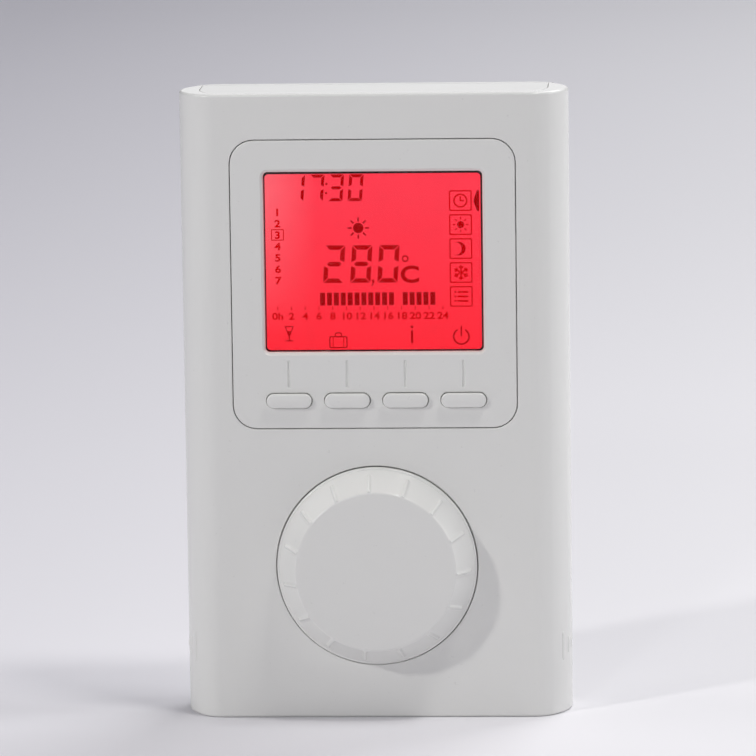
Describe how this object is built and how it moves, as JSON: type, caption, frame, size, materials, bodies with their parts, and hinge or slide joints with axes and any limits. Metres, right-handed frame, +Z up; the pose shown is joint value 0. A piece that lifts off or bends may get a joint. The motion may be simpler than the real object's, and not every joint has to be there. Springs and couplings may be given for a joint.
{
  "type": "programmable room timer",
  "caption": "Room-heating programmer: an oval-ended case with a red back-lit display, oblong keys and a large dial, on a pull-off wall plate with mains terminals.",
  "frame": {"origin": "on the ground below the middle of the whole box, as the part stands on its foot", "axes": "+X right across the front, -Y out of the front towards the user, +Y into the wall, +Z up"},
  "size_m": [0.082, 0.0298, 0.133],
  "materials": {
    "shell_plastic": "polished white ABS",
    "case_plastic": "white ABS, finely eroded",
    "panel_plastic": "polished white ABS",
    "dial_plastic": "white ABS",
    "key_plastic": "white ABS",
    "window_clear": "clear acrylic, polished",
    "lcd_glass": "liquid crystal cell, lit red from behind",
    "guide_acrylic": "light guide of frosted acrylic, lit red",
    "led_epoxy": "lamp bodies",
    "white_nylon": "display holder",
    "zebra_rubber": "conductive rubber strips",
    "board_green": "solder mask over glass-fibre board",
    "chip_epoxy": "black moulding compound",
    "relay_blue": "relay cover",
    "capacitor_sleeve": "shrunk sleeve",
    "dark_nylon": "terminal and socket mouldings",
    "brass": "plain brass",
    "steel": "zinc-plated steel",
    "encoder_metal": "die-cast zinc, nickel-plated",
    "cell_jacket": "printed battery jacket, plain",
    "switch_black": "key switch mouldings"
  },
  "bodies": {
    "wall_base": {"wall_plate": "case_plastic", "terminal_block": "dark_nylon", "terminal_clamps": "brass", "terminal_screws": "steel", "contact_blades": "brass"},
    "unit": {"front_shell": "shell_plastic", "rear_case": "case_plastic", "display_panel": "panel_plastic", "display_window": "window_clear", "lcd_cell": "lcd_glass", "lcd_frame": "white_nylon", "light_guide": "guide_acrylic", "backlight_leds": "led_epoxy", "zebra_strips": "zebra_rubber", "main_board": "board_green", "microcontroller": "chip_epoxy", "clock_crystal": "steel", "relay": "relay_blue", "capacitors": "capacitor_sleeve", "contact_socket": "dark_nylon", "temperature_sensor": "chip_epoxy", "encoder_body": "encoder_metal", "encoder_nut": "steel", "key_switches": "switch_black", "board_screws": "steel", "case_screws": "steel", "battery_upper": "cell_jacket", "battery_lower": "cell_jacket", "battery_springs": "steel", "battery_contacts": "steel"},
    "dial": {"dial_knob": "dial_plastic", "encoder_shaft": "encoder_metal"},
    "key_1": {"key_1": "key_plastic", "switch_plunger_1": "switch_black"},
    "key_2": {"key_2": "key_plastic", "switch_plunger_2": "switch_black"},
    "key_3": {"key_3": "key_plastic", "switch_plunger_3": "switch_black"},
    "key_4": {"key_4": "key_plastic", "switch_plunger_4": "switch_black"}
  },
  "joints": [
    {"name": "unit_release", "type": "slide", "parent": "wall_base", "child": "unit", "axis": [0, -1, 0], "range_m": [0, 0.03]},
    {"name": "dial_turn", "type": "hinge", "parent": "unit", "child": "dial", "pos_m": [0, -0.0071, 0.0328], "axis": [0, -1, 0], "continuous": true},
    {"name": "key_1_press", "type": "slide", "parent": "unit", "child": "key_1", "axis": [0, 1, 0], "range_m": [0, 0.0006], "stiffness_N_per_m": 1500, "springref_m": -0.0003},
    {"name": "key_2_press", "type": "slide", "parent": "unit", "child": "key_2", "axis": [0, 1, 0], "range_m": [0, 0.0006], "stiffness_N_per_m": 1500, "springref_m": -0.0003},
    {"name": "key_3_press", "type": "slide", "parent": "unit", "child": "key_3", "axis": [0, 1, 0], "range_m": [0, 0.0006], "stiffness_N_per_m": 1500, "springref_m": -0.0003},
    {"name": "key_4_press", "type": "slide", "parent": "unit", "child": "key_4", "axis": [0, 1, 0], "range_m": [0, 0.0006], "stiffness_N_per_m": 1500, "springref_m": -0.0003}
  ]
}
